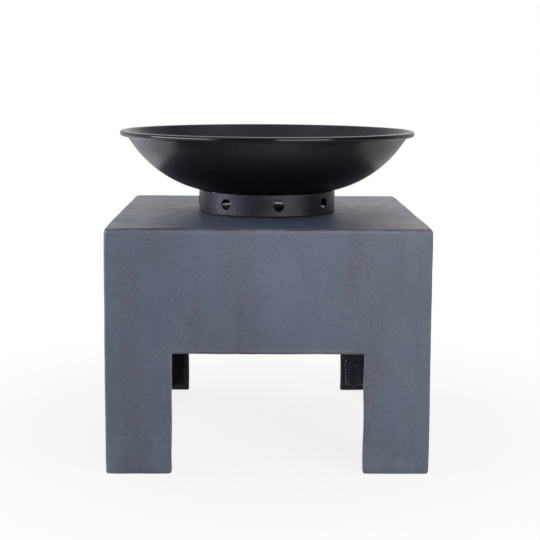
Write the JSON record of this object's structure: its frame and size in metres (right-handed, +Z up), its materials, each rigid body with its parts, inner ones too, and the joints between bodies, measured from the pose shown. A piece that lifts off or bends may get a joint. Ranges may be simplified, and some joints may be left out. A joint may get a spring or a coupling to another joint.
{
  "type": "fire pit",
  "caption": "Square grey clay console on corner legs, with a vented steel stand ring on its slab and a shallow round black steel fire bowl that lifts off.",
  "frame": {"origin": "centre of the footprint, on the ground under the four feet", "axes": "+Z up, front toward -Y, +X to the right seen from the front"},
  "size_m": [0.4, 0.4, 0.4165],
  "materials": {
    "painted_clay": "matte",
    "fibre_lining": "matte",
    "ring_coating": "satin",
    "bowl_enamel": "satin",
    "rim_wire_steel": "satin"
  },
  "bodies": {
    "console": {"clay_shell": "painted_clay", "lining_top_mat": "fibre_lining", "lining_corner_mat_rear_right": "fibre_lining", "lining_corner_mat_rear_left": "fibre_lining", "lining_corner_mat_front_left": "fibre_lining", "lining_corner_mat_front_right": "fibre_lining", "lining_apron_mat_rear": "fibre_lining", "lining_apron_mat_left": "fibre_lining", "lining_apron_mat_front": "fibre_lining", "lining_apron_mat_right": "fibre_lining"},
    "ring": {"stand_ring": "ring_coating", "ring_seam_weld": "ring_coating"},
    "bowl": {"bowl_dish": "bowl_enamel", "rim_wire": "rim_wire_steel"}
  },
  "joints": [
    {"name": "ring_lift", "type": "slide", "parent": "console", "child": "ring", "axis": [0, 0, 1], "range_m": [0, 0.2]},
    {"name": "bowl_lift", "type": "slide", "parent": "ring", "child": "bowl", "axis": [0, 0, 1], "range_m": [0, 0.15]}
  ]
}
